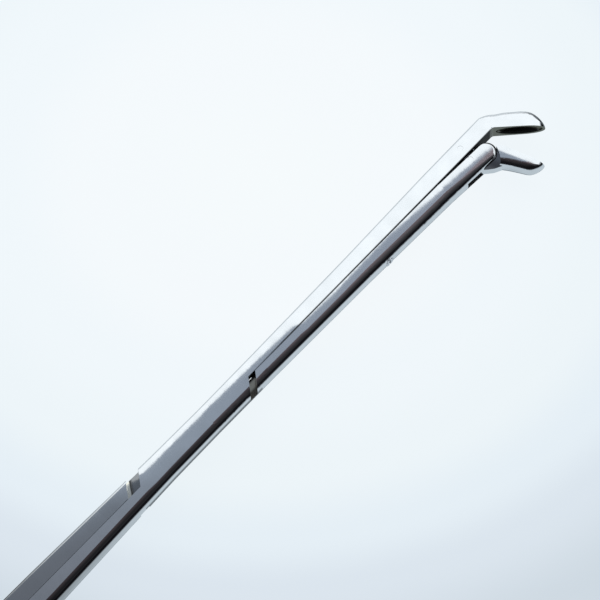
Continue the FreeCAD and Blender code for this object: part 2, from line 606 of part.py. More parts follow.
def ring(centre):
    """Finger ring with a straight bore land, slanted lead-ins and a rounded rim."""
    land = RING_LAND / 2
    outer = RING_BORE_R + RING_WALL
    lead = RING_BORE_R + RING_LEAD
    flat = outer - RING_RIM_ROUND
    level = RING_HALF - RING_RIM_ROUND
    slope = RING_RIM_ROUND * math.sqrt(0.5)
    corners = [V(flat, 0, -RING_HALF), V(lead, 0, -RING_HALF), V(RING_BORE_R, 0, -land),
               V(RING_BORE_R, 0, land), V(lead, 0, RING_HALF), V(flat, 0, RING_HALF)]
    edges = [Part.makeLine(a, b) for a, b in zip(corners, corners[1:])]
    edges.append(Part.Arc(V(flat, 0, RING_HALF), V(flat + slope, 0, level + slope), V(outer, 0, level)).toShape())
    edges.append(Part.makeLine(V(outer, 0, level), V(outer, 0, -level)))
    edges.append(Part.Arc(V(outer, 0, -level), V(flat + slope, 0, -level - slope), V(flat, 0, -RING_HALF)).toShape())
    turned = Part.Face(Part.Wire(edges)).revolve(V(0, 0, 0), V(0, 0, 1), 360)
    turned.translate(V(centre[0], centre[1], 0))
    return turned


def limb(stations):
    """Limb through three stations of (x, y, width) from the handle pivot, with rounded long edges."""
    points = [V(HANDLE_PIVOT[0] + x, HANDLE_PIVOT[1] + y, -HANDLE_HALF) for x, y, width in stations]
    sides = {1: [], -1: []}
    for place, (x, y, width) in enumerate(stations):
        before = points[max(place - 1, 0)]
        after = points[min(place + 1, len(points) - 1)]
        run = (after - before).normalize()
        across = V(-run.y, run.x, 0) * (width / 2)
        for hand in sides:
            sides[hand].append(points[place] + across * hand)
    left, right = sides[1], sides[-1]
    outline = Part.Wire([
        Part.Arc(*left).toShape(),
        Part.makeLine(left[2], right[2]),
        Part.Arc(*reversed(right)).toShape(),
        Part.makeLine(right[0], left[0]),
    ])
    solid = Part.Face(outline).extrude(V(0, 0, 2 * HANDLE_HALF))
    long_edges = [edge for edge in solid.Edges
                  if edge.BoundBox.ZLength < 1e-6 and isinstance(edge.Curve, Part.Circle)]
    return solid.makeFillet(LIMB_EDGE_ROUND, long_edges)


def head_block():
    """Solid block behind the sliding shaft that holds the tang, rounded along its back."""
    h = HANDLE_HALF
    front = V(BLOCK_FRONT_X, BLOCK_BASE_Y, -h)
    top_front = V(BLOCK_FRONT_X, BLOCK_TOP_Y, -h)
    top_rear = V(BLOCK_FRONT_X - BLOCK_CREST, BLOCK_TOP_Y, -h)
    rear = V(BLOCK_FRONT_X - BLOCK_LENGTH, BLOCK_BASE_Y, -h)
    bulge = V(-(BLOCK_BASE_Y - BLOCK_TOP_Y), -(BLOCK_LENGTH - BLOCK_CREST), 0) * BLOCK_BULGE
    outline = Part.Wire([
        Part.makeLine(front, top_front),
        Part.makeLine(top_front, top_rear),
        Part.Arc(top_rear, (top_rear + rear) / 2 + bulge, rear).toShape(),
        Part.makeLine(rear, front),
    ])
    solid = Part.Face(outline).extrude(V(0, 0, 2 * h))
    rims = [edge for edge in solid.Edges
            if edge.BoundBox.ZLength < 1e-6 and edge.BoundBox.YMin < BLOCK_TOP_Y + 0.1
            and edge.BoundBox.XMin < BLOCK_FRONT_X - 0.1]
    return solid.makeChamfer(BLOCK_CHAMFER, rims)


def rear_handle():
    """Thumb ring, rear limb, head block and the far half of the pivot joint."""
    h = HANDLE_HALF
    qx, qy = HANDLE_PIVOT
    tang_middle = (STATIONS_REAR[0][2] - SLIDE_GAP) / 2
    web_x = qx - 2 * BOSS_R
    boss = prism([(web_x, qy - 1.6 * BOSS_R), (qx - BOSS_R / 2, qy - 0.85 * BOSS_R),
                  (qx - 0.85 * BOSS_R, qy + BOSS_R / 2), (web_x, qy + 0.8 * BOSS_R)], -h, -HALVES_GAP)
    boss = fused([boss, cylinder(BOSS_R, qx, qy, -h, -HALVES_GAP)])
    body = fused([head_block(), limb(REAR_LIMB)])
    body = fused([body, ring(REAR_RING)])
    near_room = cylinder(BOSS_R + 0.35, qx, qy, -HALVES_GAP, h + 1)
    body = fused([body.cut(near_room), boss])
    tang_slot = block(TANG_END_X - SEAT_GAP, BLOCK_FRONT_X + 1, tang_middle - TANG_HALF_HIGH - SEAT_GAP,
                      tang_middle + TANG_HALF_HIGH + SEAT_GAP, -TANG_HALF - SEAT_GAP, TANG_HALF + SEAT_GAP)
    bore = cylinder(RING_BORE_R, *REAR_RING, -h - 1, h + 1)
    thread = cylinder(PIVOT_THREAD_R + SEAT_GAP, qx, qy, -h - 1, 0)
    rivets = [cylinder(RIVET_R + SEAT_GAP, x, tang_middle, -h - 1, h + 1) for x in RIVET_X]
    return single(body.cut([tang_slot, bore, thread] + rivets))


def front_handle():
    """Finger ring, front limb, near half of the pivot joint and short drive arm."""
    h = HANDLE_HALF
    qx, qy = HANDLE_PIVOT
    body = fused([limb(FRONT_LIMB), ring(FRONT_RING)])
    body = body.cut(cylinder(BOSS_R + 0.6, qx, qy, -h - 1, HALVES_GAP))
    boss = cylinder(BOSS_R, qx, qy, HALVES_GAP, h)
    arm = prism([(qx - BOSS_R * 0.8, qy), (qx - ARM_END_R, DRIVE_Y), (qx + ARM_END_R, DRIVE_Y),
                 (qx + BOSS_R * 0.8, qy)], HALVES_GAP, h)
    arm_end = cylinder(ARM_END_R, qx, DRIVE_Y, HALVES_GAP, h)
    body = fused([body, boss, arm, arm_end])
    bore = cylinder(RING_BORE_R, *FRONT_RING, -h - 1, h + 1)
    shoulder = cylinder(PIVOT_SHOULDER_R + RUN_GAP, qx, qy, -h, h + 1)
    head = cylinder(PIVOT_HEAD_R + RUN_GAP, qx, qy, h - PIVOT_HEAD_HIGH - RUN_GAP, h + 1)
    slot = slotted_hole(DRIVE_PIN_R + RUN_GAP, (qx, DRIVE_Y - 0.2), (qx, DRIVE_Y + 0.05), -h, h + 1)
    return single(body.cut([bore, shoulder, head, slot]))


def handle_pivot_screw():
    """Slotted shoulder screw between the two handles."""
    h = HANDLE_HALF
    qx, qy = HANDLE_PIVOT
    head = cylinder(PIVOT_HEAD_R, qx, qy, h - PIVOT_HEAD_HIGH, h)
    shoulder = cylinder(PIVOT_SHOULDER_R, qx, qy, -HALVES_GAP + SEAT_GAP, h)
    thread = cylinder(PIVOT_THREAD_R, qx, qy, -h + SEAT_GAP, h)
    slot = block(qx - 4, qx + 4, qy - 0.35, qy + 0.35, h - 0.6, h + 1)
    return single(fused([head, shoulder, thread]).cut(slot))


def placed(shapes):
    """Moves all pieces so that the origin is the middle of the footprint."""
    whole = Part.makeCompound(list(shapes.values())).optimalBoundingBox(False, False)
    shift = V(-(whole.XMin + whole.XMax) / 2, -(whole.YMin + whole.YMax) / 2, -whole.ZMin)
    for shape in shapes.values():
        shape.translate(shift)
    print("shift", shift)
    return shapes


def forceps():
    """All pieces by name, at rest."""
    tang_middle = (STATIONS_REAR[0][2] - SLIDE_GAP) / 2
    front_half = STATIONS_FRONT[2][3]
    shapes = {
        "fixed_shaft": fixed_shaft(),
        "sliding_shaft": sliding_shaft(),
        "movable_jaw": movable_jaw(),
        "jaw_pivot_pin": cylinder(PIVOT_PIN_R, PIVOT_X, PIVOT_Y, -front_half, front_half),
        "jaw_link_pin": cylinder(LINK_PIN_R, LINK_X, LINK_Y, -front_half, front_half),
        "guide_screw": guide_screw(),
        "guide_shoe": guide_shoe(),
        "lap_screw": lap_screw(),
        "rear_handle": rear_handle(),
        "front_handle": front_handle(),
        "handle_pivot_screw": handle_pivot_screw(),
        "drive_pin": cylinder(DRIVE_PIN_R, HANDLE_PIVOT[0], DRIVE_Y, -STATIONS_REAR[0][3] + 0.1, HANDLE_HALF - 0.2),
    }
    for place, x in zip(("front", "rear"), RIVET_X):
        shapes["tang_rivet_" + place] = cylinder(RIVET_R, x, tang_middle, -HANDLE_HALF, HANDLE_HALF)
    return placed(shapes)


os.makedirs("parts", exist_ok=True)
for name, shape in forceps().items():
    shape.exportStep("parts/" + name + ".step")
    print(name, "valid" if shape.isValid() else "NOT VALID", "volume", round(shape.Volume, 3))
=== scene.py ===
"""Studio scene of the nasal forceps: materials, light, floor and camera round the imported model."""
import math

import bpy
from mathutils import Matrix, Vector

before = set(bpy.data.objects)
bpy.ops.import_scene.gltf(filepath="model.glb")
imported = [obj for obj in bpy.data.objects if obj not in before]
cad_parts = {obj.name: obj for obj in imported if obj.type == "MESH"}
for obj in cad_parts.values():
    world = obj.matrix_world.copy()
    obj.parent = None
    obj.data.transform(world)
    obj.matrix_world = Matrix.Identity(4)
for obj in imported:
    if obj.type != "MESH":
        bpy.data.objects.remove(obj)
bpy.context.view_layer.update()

MM = 0.001
BLACK = (0.0, 0.0, 0.0, 1.0)
WHITE = (1.0, 1.0, 1.0, 1.0)


def tone(red, green, blue):
    """Linear colour from 0 to 255 display values."""
    def linear(v):
        v = v / 255.0
        return v / 12.92 if v <= 0.04045 else ((v + 0.055) / 1.055) ** 2.4
    return (linear(red), linear(green), linear(blue), 1.0)


# Camera, matched to the photograph
AZIMUTH = math.radians(-48.2)
ELEVATION = math.radians(65.5)
DISTANCE = 1.6
VIEW_WIDTH = 0.090              # what the frame shows across at the object
SENSOR = 36.0
NEAR_CLIP = 0.01
FAR_CLIP = 20.0
JAW_CORNER = Vector((80.674, -38.695, 4.0)) * MM      # inner corner of the fixed jaw, on its upper face
CORNER_IN_VIEW = (493.0, 127.5)                     # where that corner is in a 600 pixel frame
FRAME_SIZE = 600.0

# Light table with a pool of light: place and reach in frame pixels, tones from its centre to twice its reach
FLOOR_SIDE = 8.0
FLOOR_DROP = 0.0004
FLOOR_GLOW = 0.94
FLOOR_MATT = (0.07, 0.07, 0.07, 1.0)
POOL_CENTRE = (260.0, 170.0)
POOL_REACH = 420.0
POOL_TONES = (
    (0.0, tone(248, 253, 255)),
    (0.20, tone(247, 252, 255)),
    (0.32, tone(243, 250, 254)),
    (0.43, tone(240, 248, 252)),
    (0.52, tone(232, 242, 249)),
    (0.59, tone(222, 232, 241)),
    (0.70, tone(209, 220, 229)),
    (1.0, tone(208, 219, 228)),
)

# What polished metal mirrors, by the angle round the shaft: 0 is overhead, 90 the outer side, 180 below
SURROUNDINGS = (
    (-180, tone(120, 130, 138)),
    (-150, tone(170, 180, 187)),
    (-100, tone(220, 228, 234)),
    (-60, tone(236, 242, 245)),
    (-28, tone(196, 207, 216)),
    (-6, tone(150, 158, 168)),
    (20, tone(90, 82, 86)),
    (50, tone(24, 22, 26)),
    (92, tone(18, 18, 22)),
    (107, tone(200, 212, 220)),
    (168, tone(194, 206, 214)),
    (180, tone(120, 130, 138)),
)
AHEAD_FADE = (0.72, 0.92)       # they darken towards +x, between these x of a direction
AHEAD_LEFT = 0.25               # what is left of them there
PAST_TABLE = tone(226, 236, 241)

# Overhead panel: sides and height in metres
PANEL_WEST, PANEL_EAST, PANEL_SOUTH, PANEL_NORTH = -0.35, 0.55, -0.45, 0.75
PANEL_HEIGHT = 0.2
# Its bright half, beyond a slanting edge in plan
EDGE_X = 0.100
EDGE_Y = 0.0517
EDGE_SLOPE = -2.213
EDGE_SOFT = 0.0025
PANEL_BRIGHT = (1.05, 1.11, 1.15, 1.0)
# Its grey half, which grows lighter along x
PANEL_RUN = (0.035, 0.140)
PANEL_GREYS = (
    (0.0, tone(116, 122, 132)),
    (0.16, tone(124, 131, 142)),
    (0.26, tone(132, 141, 153)),
    (0.38, tone(145, 156, 170)),
    (1.0, tone(148, 158, 173)),
)
# Its dark side, from the south edge up to the grey half, and how much of it is left along x
PANEL_DARK_Y = -0.052
PANEL_DARK_START = PANEL_DARK_Y - 0.012
PANEL_DARK_END = PANEL_DARK_Y + 0.004
PANEL_DARKS = (
    (0.0, tone(38, 39, 42)),
    (0.45, tone(50, 51, 53)),
    (0.68, tone(74, 72, 76)),
    (0.82, tone(98, 93, 97)),
    (0.92, tone(120, 108, 112)),
    (1.0, tone(138, 130, 138)),
)
PANEL_GAINS = (
    (0.0, (0.2, 0.2, 0.2, 1.0)),
    (0.5, (0.35, 0.35, 0.36, 1.0)),
    (0.8, (0.8, 0.78, 0.78, 1.0)),
    (1.0, WHITE),
)
# Its ends, over the handles and past the jaws
WEST_FADE = (-0.04, 0.025)
WEST_TONE = tone(196, 204, 212)
EAST_FADE = (0.36, 0.50)
EAST_TONE = tone(96, 102, 108)

# Hand polish: scales of its noises, and what marks, mottle and specks add
DRAWN = (0.06, 1.0, 1.0)        # marks are long in x
MARK_SCALE = 9000.0
CLOUD_SCALE = 420.0
SPECK_SCALE = 2600.0
CLOUD_RANGE = (0.35, 0.7)
MOTTLE_ROUGHNESS = 0.04
MARK_ROUGHNESS = 0.03
MARK_HEIGHT = 0.0000005
MOTTLE_HEIGHT = 0.000006
SPECK_HEIGHT = 0.0000001
STEEL_BRIGHT = (0.86, 0.87, 0.88, 1.0)
STEEL_DULL = (0.80, 0.815, 0.825, 1.0)
SHADED_RANGE = (0.03, 0.25)     # shaded colours in this range are matt as well
SHADED_ROUGHNESS = 0.6

# Hand-polished crown of the shafts' near faces; places along the shaft are metres behind the jaw corner
CROWN_RADIUS = 0.011
CROWN_START = (-0.0010, 0.0025)
NOSE_CROWN_LIMIT = 0.0025
CROWN_LIMIT = 0.0017            # beyond this the face stays straight to its rounded edge
NOSE_TO_SHAFT = (0.006, 0.016)  # where one limit passes into the other
CROWN_REACH = 0.120             # length of shaft behind the jaw corner that the drift table covers
CROWN_DRIFT = (                 # where along it the crown's top line strays, and by how many mm
    (0.0, -0.1), (0.04, -0.1), (0.10, 0.1), (0.20, 0.40), (0.30, -0.50), (0.36, -0.60), (0.37, 0.0),
    (0.42, 0.0), (0.52, -0.2), (0.64, -0.60), (0.66, 0.2), (0.72, 0.3), (0.80, 1.1), (1.0, 2.3),
)
DRIFT_SPAN = 2.5

# Gentle crown of the movable jaw
MOVABLE_LOOKS = Vector((0.933, 0.360, 0.0))     # about where its inner face looks
INNER_ALIGNED = 0.97
INNER_UPRIGHT = 0.02
JAW_CROWN_RADIUS = 0.0085
JAW_CROWN_MOST = 0.6
JAW_LEVEL = (0.2, 0.95)         # the crown acts on faces that look this far up
JAW_TIP_RUN = (0.0030, 0.0076)
JAW_TIP_LEAN = 0.12

# Faces that light hardly reaches, and the colours of the shade painted on them
UP = (0.0, 0.0, 1.0)
OUTER_SIDE = (0.0, -1.0, 0.0)
REARWARD = (-1.0, 0.0, 0.0)
JAW_INNER = (-0.707, -0.707, 0.0)
FACE_LEAST = 0.85               # how squarely a face has to look along a direction
JAW_FACE_LEAST = 0.25
FACE_SOFT = (-0.08, 0.05)
MASK_SOFT = 0.00002
MID_HEIGHT = 0.0025
# colours painted on as shade: near black and dark olive
PAINTED_SHADE_DARK = (0.02, 0.02, 0.02, 1.0)
PAINTED_SHADE_OLIVE = (0.16, 0.16, 0.125, 1.0)

# Seam between the shafts: painted shade along it, on its side wall and on the fixed jaw's inner face
SEAM_HALF_WIDTH = 0.00012
SEAM_EDGE = (0.6 * SEAM_HALF_WIDTH, 1.5 * SEAM_HALF_WIDTH)
SEAM_START = (0.0, 0.0006)
SEAM_FADE = (0.046, 0.056)
SEAM_STRENGTH = 0.85
WALL_HALF_WIDTH = 0.0003
WALL_START = (-0.0002, 0.0)
JAW_FACE_FADE = (0.0008, 0.0003)

# Floors and steps of the two notches: painted shade on them, and a painted shadow line and painted highlight
# strip on the rear floor
NOTCH_FLOOR_TOP = (MID_HEIGHT + 0.0009, MID_HEIGHT + 0.0006)
NOTCH_END = (0.088, 0.087)
NOTCH_OUTER = (-0.0002, -0.0006)
FRONT_NOTCH = (0.040, 0.041)
REAR_NOTCH = (0.060, 0.061)
FRONT_NOTCH_SHADE = (0.42, 0.38, 0.30, 1.0)
REAR_NOTCH_SHADE = (0.27, 0.275, 0.28, 1.0)
NOTCH_STRENGTH = 0.96
NOTCH_REAR = 0.0819             # rear end of the rear notch at the seam
NOTCH_SLANT = 0.76
NOTCH_SHADOW = (NOTCH_REAR - 0.0020, NOTCH_REAR - 0.0015)
NOTCH_SHADOW_STRENGTH = 0.8
NOTCH_HIGHLIGHT = (NOTCH_REAR - 0.0014, NOTCH_REAR - 0.0012)
PAINTED_HIGHLIGHT_TONE = (1.0, 0.96, 0.84, 1.0)
FRONT_STEP = (0.050, 0.056)
REAR_STEP = (0.076, 0.084)
REAR_STEP_SHADE = (0.10, 0.10, 0.11, 1.0)

# Painted shade on the lower side of the crossing, on the rim of the nose, and on the bars behind the crossing
CROSSING = (0.0545, 0.0805)
CROSSING_BELOW = (0.0031, 0.0028)
CROSSING_OUTER = (-0.0012, -0.0016)
CROSSING_STRENGTH = 0.75
RIM_LOOKS = (0.15, 0.4)
RIM_REACH = (0.0, 0.0065)
RIM_OUTER = (-0.0002, -0.0004)
RIM_SHADE = (0.12, 0.12, 0.12, 1.0)
REAR_EDGE_START = (0.082, 0.102)
REAR_EDGE_LOOKS = (0.05, 0.35)
REAR_EDGE_STRENGTH = 0.78
REAR_OUTER_START = (0.078, 0.098)
REAR_OUTER_LOOKS = (-0.5, -0.8)
REAR_OUTER_STRENGTH = 0.45
REAR_UPPER_START = (0.079, 0.084)
REAR_UPPER_SIDE = (0.00002, 0.00008)
REAR_UPPER_STRENGTH = 0.28

# Tail plate of the movable jaw: painted shade on it and on the jaw behind it
TAIL_HEIGHTS = (MID_HEIGHT + 0.0004, MID_HEIGHT + 0.0011)
TAIL_SHADE = (0.20, 0.20, 0.21, 1.0)
TAIL_END = (0.0063, 0.0068)


def add_camera():
    """Camera high over the shaft; the fixed jaw's corner falls on its place in the frame."""
    back = Vector((math.sin(AZIMUTH) * math.cos(ELEVATION), -math.cos(AZIMUTH) * math.cos(ELEVATION),
                   math.sin(ELEVATION)))
    right = Vector((math.cos(AZIMUTH), math.sin(AZIMUTH), 0.0))
    up = back.cross(right)
    pixel = VIEW_WIDTH / FRAME_SIZE
    across = (CORNER_IN_VIEW[0] - FRAME_SIZE / 2) * pixel
    down = (CORNER_IN_VIEW[1] - FRAME_SIZE / 2) * pixel
    target = JAW_CORNER - right * across + up * down
    data = bpy.data.cameras.new("camera")
    data.sensor_width = SENSOR
    data.lens = SENSOR * DISTANCE / VIEW_WIDTH
    data.clip_start = NEAR_CLIP
    data.clip_end = FAR_CLIP
    camera = bpy.data.objects.new("camera", data)
    camera.location = target + back * DISTANCE
    camera.rotation_mode = "QUATERNION"
    camera.rotation_quaternion = back.to_track_quat("Z", "Y")
    bpy.context.scene.collection.objects.link(camera)
    bpy.context.scene.camera = camera
    return right, up


class Graph:
    """Small helper that adds and joins shader nodes."""

    def __init__(self, tree):
        self.tree = tree

    def node(self, kind, **settings):
        made = self.tree.nodes.new(kind)
        for name, value in settings.items():
            setattr(made, name, value)
        return made

    def put(self, socket, value):
        """Joins an output to a socket, or sets a constant on it."""
        if isinstance(value, bpy.types.NodeSocket):
            self.tree.links.new(value, socket)
        else:
            socket.default_value = value

    def math(self, operation, *values):
        made = self.node("ShaderNodeMath", operation=operation)
        for socket, value in zip(made.inputs, values):
            self.put(socket, value)
        return made.outputs[0]

    def times(self, product, *factors):
        """Product of all the values."""
        for factor in factors:
            product = self.math("MULTIPLY", product, factor)
        return product

    def along(self, x, y, direction):
        """How far a place in plan reaches along a direction."""
        return self.math("ADD", self.times(x, direction[0]), self.times(y, direction[1]))

    def split(self, vector):
        made = self.node("ShaderNodeSeparateXYZ")
        self.put(made.inputs[0], vector)
        return made.outputs

    def spread(self, value, low, high, to_low=0.0, to_high=1.0, smooth=False):
        """Maps a range to another one and stops at its ends."""
        kind = "SMOOTHSTEP" if smooth else "LINEAR"
        made = self.node("ShaderNodeMapRange", interpolation_type=kind)
        for socket, part in zip(made.inputs, (value, low, high, to_low, to_high)):
            self.put(socket, part)
        return made.outputs[0]

    def mix(self, share, first, second, blend="MIX"):
        made = self.node("ShaderNodeMix", data_type="RGBA", blend_type=blend)
        self.put(made.inputs[0], share)
        self.put(made.inputs[6], first)
        self.put(made.inputs[7], second)
        return made.outputs[2]

    def ramp(self, value, stops, easing="LINEAR"):
        made = self.node("ShaderNodeValToRGB")
        made.color_ramp.interpolation = easing
        elements = made.color_ramp.elements
        while len(elements) < len(stops):
            elements.new(0.5)
        for element, (place, colour) in zip(elements, stops):
            element.position = place
            element.color = colour
        self.put(made.inputs[0], value)
        return made.outputs[0]

    def noise(self, vector, scale, detail, roughness):
        made = self.node("ShaderNodeTexNoise")
        self.put(made.inputs["Vector"], vector)
        made.inputs["Scale"].default_value = scale
        made.inputs["Detail"].default_value = detail
        made.inputs["Roughness"].default_value = roughness
        return made.outputs[0]

    def glow(self, colour, strength):
        """Emission of a colour."""
        made = self.node("ShaderNodeEmission")
        self.put(made.inputs[0], colour)
        made.inputs[1].default_value = strength
        return made.outputs[0]


def new_material(name):
    """Empty material and the graph that fills it."""
    material = bpy.data.materials.new(name)
    material.use_nodes = True
    material.node_tree.nodes.clear()
    return material, Graph(material.node_tree)


def rectangle(name, west, east, south, north, height, material):
    """Flat rectangle with a material."""
    mesh = bpy.data.meshes.new(name)
    corners = [(west, south, height), (east, south, height), (east, north, height), (west, north, height)]
    mesh.from_pydata(corners, [], [(0, 1, 2, 3)])
    mesh.materials.append(material)
    made = bpy.data.objects.new(name, mesh)
    bpy.context.scene.collection.objects.link(made)
    return made


def add_world():
    """Pale surroundings, with a dark side that gives polished metal its black band."""
    world = bpy.data.worlds.new("studio")
    world.use_nodes = True
    bpy.context.scene.world = world
    tree = world.node_tree
    tree.nodes.clear()
    g = Graph(tree)
    x, y, z = g.split(g.node("ShaderNodeTexCoord").outputs["Generated"])
    turn = g.math("ARCTAN2", g.times(y, -1.0), z)
    share = g.math("ADD", g.math("DIVIDE", turn, 2 * math.pi), 0.5)
    mirrored = g.ramp(share, [(angle / 360 + 0.5, colour) for angle, colour in SURROUNDINGS])
    ahead = g.spread(x, *AHEAD_FADE, 1.0, AHEAD_LEFT)
    mirrored = g.mix(1.0, mirrored, g.mix(ahead, BLACK, WHITE), "MULTIPLY")
    seen = g.node("ShaderNodeLightPath").outputs["Is Camera Ray"]
    background = g.node("ShaderNodeBackground")
    g.put(background.inputs[0], g.mix(seen, mirrored, PAST_TABLE))
    background.inputs[1].default_value = 1.0
    g.put(g.node("ShaderNodeOutputWorld").inputs[0], background.outputs[0])


def add_overhead():
    """Overhead panel that metal mirrors: bright beyond a slanting edge, grey before it, dark to the south."""
    material, g = new_material("panel_glow")
    x, y = g.split(g.node("ShaderNodeNewGeometry").outputs["Position"])[:2]
    edge_y = g.math("ADD", g.times(g.math("SUBTRACT", x, EDGE_X), EDGE_SLOPE), EDGE_Y)
    bright = g.spread(g.math("SUBTRACT", y, edge_y), -EDGE_SOFT, EDGE_SOFT, smooth=True)
    run = g.spread(x, *PANEL_RUN)
    grey = g.ramp(run, PANEL_GREYS)
    dark = g.ramp(g.spread(y, PANEL_SOUTH, PANEL_DARK_Y), PANEL_DARKS)
    dark = g.mix(1.0, dark, g.ramp(run, PANEL_GAINS), "MULTIPLY")
    under = g.mix(g.spread(y, PANEL_DARK_START, PANEL_DARK_END, smooth=True), dark, grey)
    light = g.mix(bright, under, PANEL_BRIGHT)
    west_end = g.times(g.spread(y, PANEL_DARK_START, PANEL_DARK_END), g.spread(x, *WEST_FADE, 1.0, 0.0))
    light = g.mix(west_end, light, WEST_TONE)
    light = g.mix(g.spread(x, *EAST_FADE, smooth=True), light, EAST_TONE)
    g.put(g.node("ShaderNodeOutputMaterial").inputs[0], g.glow(light, 1.0))
    panel = rectangle("overhead_panel", PANEL_WEST, PANEL_EAST, PANEL_SOUTH, PANEL_NORTH, PANEL_HEIGHT,
                      material)
    panel.visible_camera = False
    panel.visible_shadow = False


def add_floor(right, up):
    """Pale light table under the object, with a soft pool of light."""
    material, g = new_material("pale_light_table")
    x, y = g.split(g.node("ShaderNodeNewGeometry").outputs["Position"])[:2]
    pixel = VIEW_WIDTH / FRAME_SIZE
    across = Vector((right.x, right.y)) / pixel
    down = -Vector((up.x, up.y)).normalized() / (pixel * math.sin(ELEVATION))
    squares = []
    for direction, corner, centre in zip((across, down), CORNER_IN_VIEW, POOL_CENTRE):
        shift = corner - JAW_CORNER.xy.dot(direction)
        place = g.math("ADD", g.along(x, y, direction), shift)
        off = g.math("DIVIDE", g.math("SUBTRACT", place, centre), POOL_REACH)
        squares.append(g.times(off, off))
    reach = g.math("DIVIDE", g.math("SQRT", g.math("ADD", *squares)), 2.0)
    matt = g.node("ShaderNodeBsdfDiffuse")
    matt.inputs[0].default_value = FLOOR_MATT
    both = g.node("ShaderNodeAddShader")
    g.put(both.inputs[0], g.glow(g.ramp(reach, POOL_TONES, "EASE"), FLOOR_GLOW))
    g.put(both.inputs[1], matt.outputs[0])
    g.put(g.node("ShaderNodeOutputMaterial").inputs[0], both.outputs[0])
    floor = rectangle("floor", -FLOOR_SIDE, FLOOR_SIDE, -FLOOR_SIDE, FLOOR_SIDE, 0.0, material)
    floor.location = (0, 0, -FLOOR_DROP)
    floor.visible_glossy = False


def polish_group():
    """Shared finish: colour, roughness and height of hand-polished steel with fine lengthwise marks."""
    tree = bpy.data.node_groups.new("hand_polish", "ShaderNodeTree")
    face = tree.interface
    for name in ("Marks", "Mottle", "Roughness"):
        face.new_socket(name, in_out="INPUT", socket_type="NodeSocketFloat")
    face.new_socket("Colour", in_out="OUTPUT", socket_type="NodeSocketColor")
    face.new_socket("Roughness", in_out="OUTPUT", socket_type="NodeSocketFloat")
    face.new_socket("Height", in_out="OUTPUT", socket_type="NodeSocketFloat")
    g = Graph(tree)
    given = g.node("NodeGroupInput").outputs
    place = g.node("ShaderNodeTexCoord").outputs["Object"]
    drawn = g.node("ShaderNodeMapping")
    g.put(drawn.inputs["Vector"], place)
    drawn.inputs["Scale"].default_value = DRAWN
    clouds = g.noise(place, CLOUD_SCALE, 4.0, 0.55)
    specks = g.noise(place, SPECK_SCALE, 2.0, 0.5)
    marks = g.times(g.noise(drawn.outputs[0], MARK_SCALE, 4.0, 0.6), given["Marks"])
    mottle = g.times(g.spread(clouds, *CLOUD_RANGE), given["Mottle"])
    rough = g.math("ADD", given["Roughness"], g.times(mottle, MOTTLE_ROUGHNESS))
    rough = g.math("ADD", rough, g.times(marks, MARK_ROUGHNESS))
    height = g.math("ADD", g.times(marks, MARK_HEIGHT), g.times(clouds, given["Mottle"], MOTTLE_HEIGHT))
    height = g.math("ADD", height, g.times(specks, SPECK_HEIGHT))
    out = g.node("NodeGroupOutput")
    g.put(out.inputs["Colour"], g.mix(mottle, STEEL_BRIGHT, STEEL_DULL))
    g.put(out.inputs["Roughness"], rough)
    g.put(out.inputs["Height"], height)
    return tree


def from_corner(g, x, y):
    """How far behind the jaw corner a place is, and how far it is from the seam to the handles' side."""
    return g.math("SUBTRACT", JAW_CORNER.x, x), g.math("SUBTRACT", y, JAW_CORNER.y)


def leaning(g, lean):
    """The face's own normal, leaning by a vector."""
    total = g.node("ShaderNodeVectorMath", operation="ADD")
    g.put(total.inputs[0], g.node("ShaderNodeNewGeometry").outputs["Normal"])
    g.put(total.inputs[1], lean)
    unit = g.node("ShaderNodeVectorMath", operation="NORMALIZE")
    g.put(unit.inputs[0], total.outputs[0])
    return unit.outputs[0]


def shaft_crown(g):
    """Normal of the near face, leaning outwards from a top line that wanders a little."""
    x, y = g.split(g.node("ShaderNodeTexCoord").outputs["Object"])[:2]
    back, from_seam = from_corner(g, x, y)
    stops = [(at, ((drift + DRIFT_SPAN) / (2 * DRIFT_SPAN),) * 3 + (1.0,)) for at, drift in CROWN_DRIFT]
    share = g.ramp(g.math("DIVIDE", back, CROWN_REACH), stops)
    drift = g.math("SUBTRACT", g.times(share, 2 * DRIFT_SPAN), DRIFT_SPAN)
    across = g.math("SUBTRACT", from_seam, g.times(drift, MM))
    across = g.math("MAXIMUM", across, g.spread(back, *NOSE_TO_SHAFT, -NOSE_CROWN_LIMIT, -CROWN_LIMIT))
    lean = g.node("ShaderNodeCombineXYZ")
    on_shaft = g.spread(back, *CROWN_START)
    g.put(lean.inputs[1], g.times(g.math("DIVIDE", across, CROWN_RADIUS), on_shaft))
    return leaning(g, lean.outputs[0])


def inner_plane(piece, looks):
    """Direction and distance of the flat inner face of a jaw, read from its mesh."""
    total = Vector((0.0, 0.0, 0.0))
    spots = []
    for face in piece.data.polygons:
        if face.normal.dot(looks) > INNER_ALIGNED and abs(face.normal.z) < INNER_UPRIGHT:
            total += face.normal * face.area
            spots.append((face.area, face.center))
    direction = total.normalized()
    reach = sum(area * spot.dot(direction) for area, spot in spots) / sum(area for area, spot in spots)
    return direction, reach


